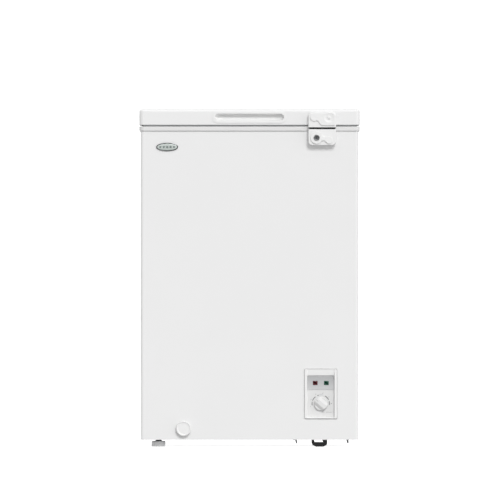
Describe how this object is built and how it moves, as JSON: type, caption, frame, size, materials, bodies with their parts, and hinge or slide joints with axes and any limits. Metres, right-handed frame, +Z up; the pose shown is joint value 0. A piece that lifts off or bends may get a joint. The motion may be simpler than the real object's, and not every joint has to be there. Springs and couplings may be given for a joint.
{
  "type": "chest freezer",
  "caption": "Small upright-proportioned chest freezer with a rear-hinged lid, recessed handle, front lock, thermostat panel and drain.",
  "frame": {"origin": "on the floor, under the middle of the overall bounding box", "axes": "+Z up along the height; -Y towards the front with the lock and thermostat panel; +X to the right of a person who faces the front"},
  "size_m": [0.554, 0.5364, 0.85],
  "materials": {
    "white_steel": "gloss",
    "white_plastic": "satin",
    "liner": "coated",
    "galvanised": "satin",
    "evaporator_tube": "satin",
    "foam": "matte",
    "gasket": "matte",
    "black_steel": "satin",
    "black_plastic": "matte",
    "grommet_rubber": "matte",
    "zinc": "plated",
    "copper": "polished",
    "grey_plastic": "matte",
    "panel_grey": "satin",
    "red_lamp": "gloss",
    "green_lamp": "gloss",
    "chrome": "polished",
    "basket_wire": "coated"
  },
  "bodies": {
    "cabinet": {"outer_shell": "white_steel", "back_panel": "white_steel", "rear_grille": "galvanised", "insulation": "foam", "inner_liner": "liner", "top_collar": "white_plastic", "bottom_plate": "galvanised", "compressor_tray": "galvanised", "bay_lining": "galvanised", "compressor": "black_steel", "compressor_grommet_1": "grommet_rubber", "compressor_grommet_2": "grommet_rubber", "compressor_grommet_3": "grommet_rubber", "compressor_grommet_4": "grommet_rubber", "compressor_bolt_1": "zinc", "compressor_bolt_2": "zinc", "compressor_bolt_3": "zinc", "compressor_bolt_4": "zinc", "terminal_cover": "black_plastic", "filter_drier": "copper", "suction_pipe": "copper", "discharge_pipe": "copper", "condenser_coil": "galvanised", "evaporator_coil": "evaporator_tube", "thermostat_body": "zinc", "sensing_capillary": "copper", "control_bezel": "white_plastic", "indicator_strip": "panel_grey", "red_lens": "red_lamp", "green_lens": "green_lamp", "drain_tube": "grey_plastic", "badge": "chrome", "lock_housing": "white_plastic", "hinge_base_left": "zinc", "hinge_base_right": "zinc", "hinge_pin_left": "zinc", "hinge_pin_right": "zinc", "hinge_spring_left": "zinc", "hinge_spring_right": "zinc", "foot_front_right": "black_plastic", "foot_rear_right": "black_plastic", "cord_gland": "black_plastic"},
    "lid": {"lid_shell": "white_steel", "lid_insulation": "foam", "lid_liner": "white_plastic", "lid_gasket": "gasket", "handle_insert": "white_plastic", "lock_keeper": "white_plastic", "hinge_arm_left": "zinc", "hinge_arm_right": "zinc"},
    "thermostat_dial": {"thermostat_knob": "white_plastic", "thermostat_spindle": "zinc"},
    "lock_cylinder": {"lock_cylinder": "zinc"},
    "lock_bolt": {"lock_bolt": "black_plastic"},
    "drain_plug": {"drain_plug": "white_plastic"},
    "drain_stopper": {"drain_stopper": "grey_plastic"},
    "foot_front_left": {"foot_front_left": "grey_plastic"},
    "foot_rear_left": {"foot_rear_left": "grey_plastic"},
    "basket": {"wire_basket": "basket_wire"}
  },
  "joints": [
    {"name": "lid_hinge", "type": "hinge", "parent": "cabinet", "child": "lid", "pos_m": [0, 0.26025, 0.8113], "axis": [-1, 0, 0], "range_deg": [0, 85]},
    {"name": "dial_turn", "type": "hinge", "parent": "cabinet", "child": "thermostat_dial", "pos_m": [0.1793, -0.24825, 0.1087], "axis": [0, 1, 0], "range_deg": [-41, 139]},
    {"name": "key_turn", "type": "hinge", "parent": "cabinet", "child": "lock_cylinder", "pos_m": [0.1687, -0.26325, 0.7767], "axis": [0, 1, 0], "range_deg": [0, 90]},
    {"name": "bolt_slide", "type": "slide", "parent": "cabinet", "child": "lock_bolt", "axis": [0, 0, 1], "range_m": [0, 0.008]},
    {"name": "drain_plug_pull", "type": "slide", "parent": "cabinet", "child": "drain_plug", "axis": [0, -1, 0], "range_m": [0, 0.03]},
    {"name": "drain_stopper_lift", "type": "slide", "parent": "cabinet", "child": "drain_stopper", "axis": [0, 0, 1], "range_m": [0, 0.03]},
    {"name": "front_foot_turn", "type": "hinge", "parent": "cabinet", "child": "foot_front_left", "pos_m": [-0.2297, -0.20325, 0], "axis": [0, 0, 1], "continuous": true},
    {"name": "rear_foot_turn", "type": "hinge", "parent": "cabinet", "child": "foot_rear_left", "pos_m": [-0.2297, 0.19975, 0], "axis": [0, 0, 1], "continuous": true},
    {"name": "basket_slide", "type": "slide", "parent": "cabinet", "child": "basket", "axis": [-1, 0, 0], "range_m": [0, 0.22]}
  ],
  "couplings": [
    {"joint": "bolt_slide", "follows": "key_turn", "m_per_rad": 0.00509}
  ]
}
